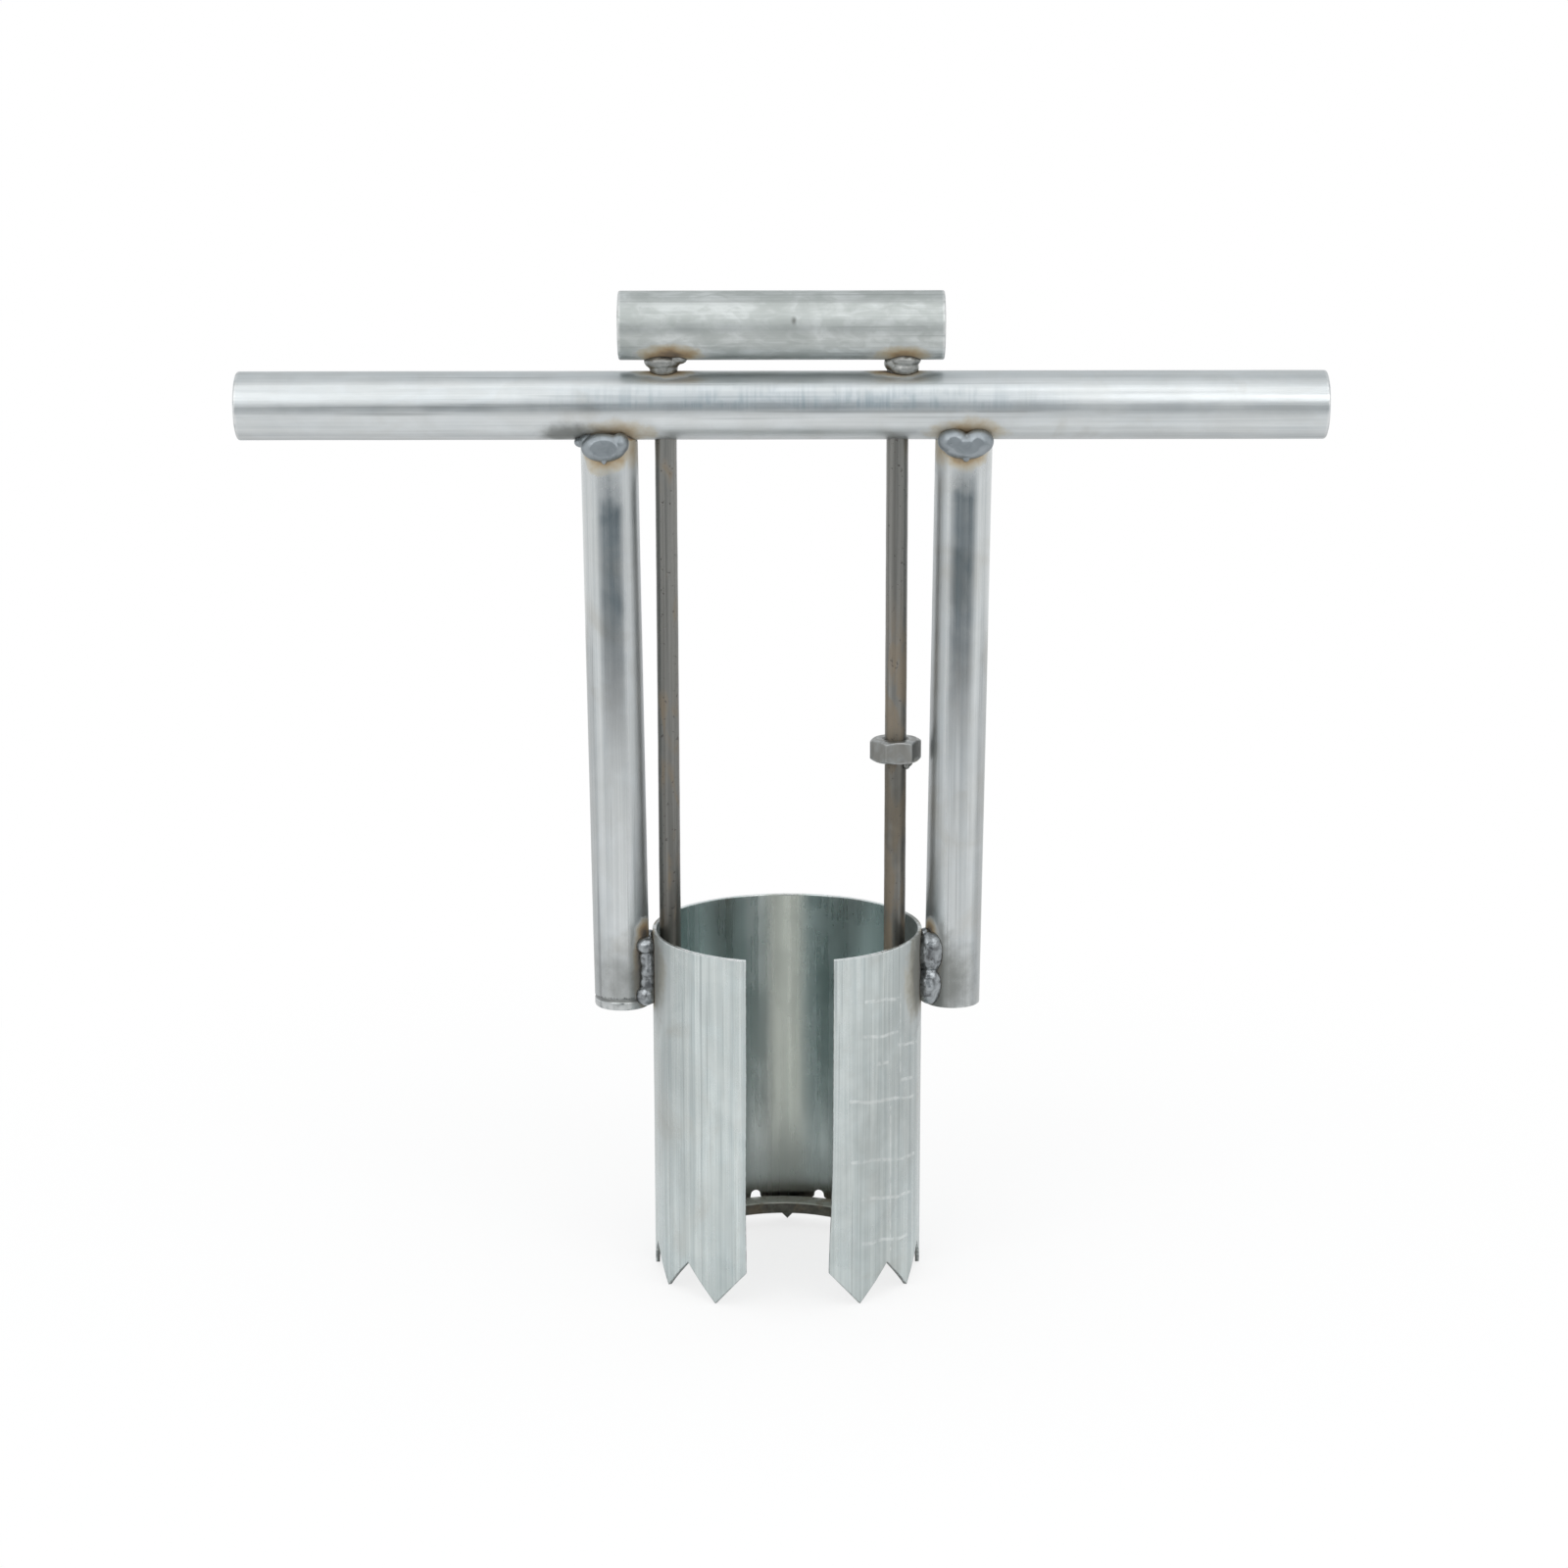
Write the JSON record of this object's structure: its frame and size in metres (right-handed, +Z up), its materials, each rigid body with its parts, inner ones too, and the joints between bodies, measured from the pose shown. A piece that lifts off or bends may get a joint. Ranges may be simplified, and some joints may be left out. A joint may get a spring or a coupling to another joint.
{
  "type": "hand transplanter",
  "caption": "Welded steel hand transplanter: toothed, slotted soil-core cylinder under a cross handle, with a sliding ejector that pushes the core out.",
  "frame": {"origin": "on the cutting cylinder's axis, level with the tips of its teeth, which the tool stands on; the bottom centre of the tool's box", "axes": "+Z up along the cylinder's axis and the ejector's slide, +X along the cross handle, -Y the side of the open slot"},
  "size_m": [0.396, 0.0993, 0.3716],
  "materials": {
    "cylinder_steel": "galvanised tube, drawn along its length, scratched by use",
    "tube_steel": "galvanised tube, drawn, with dull bluish streaks",
    "grip_steel": "galvanised tube, handled and stained",
    "bar_steel": "hot rolled bar, dark mill scale with rust tints",
    "weld_steel": "weld metal, smooth and glassy, dark at its edges",
    "nut_steel": "plated nut, dulled by the heat of its tack"
  },
  "bodies": {
    "frame": {"cutting_cylinder": "cylinder_steel", "cross_handle": "tube_steel", "left_leg": "tube_steel", "right_leg": "tube_steel", "left_leg_top_weld_front": "weld_steel", "left_leg_top_weld_back": "weld_steel", "right_leg_top_weld_front": "weld_steel", "right_leg_top_weld_back": "weld_steel", "left_leg_foot_weld_front": "weld_steel", "left_leg_foot_weld_back": "weld_steel", "right_leg_foot_weld_front": "weld_steel", "right_leg_foot_weld_back": "weld_steel"},
    "ejector": {"ejector_grip": "grip_steel", "left_rod": "bar_steel", "right_rod": "bar_steel", "ejector_ring": "bar_steel", "left_grip_weld": "weld_steel", "right_grip_weld": "weld_steel", "left_ring_weld": "weld_steel", "right_ring_weld": "weld_steel", "stop_nut": "nut_steel", "stop_nut_tack": "weld_steel"}
  },
  "joints": [
    {"name": "ejector_slide", "type": "slide", "parent": "frame", "child": "ejector", "axis": [0, 0, 1], "range_m": [0, 0.111]}
  ]
}
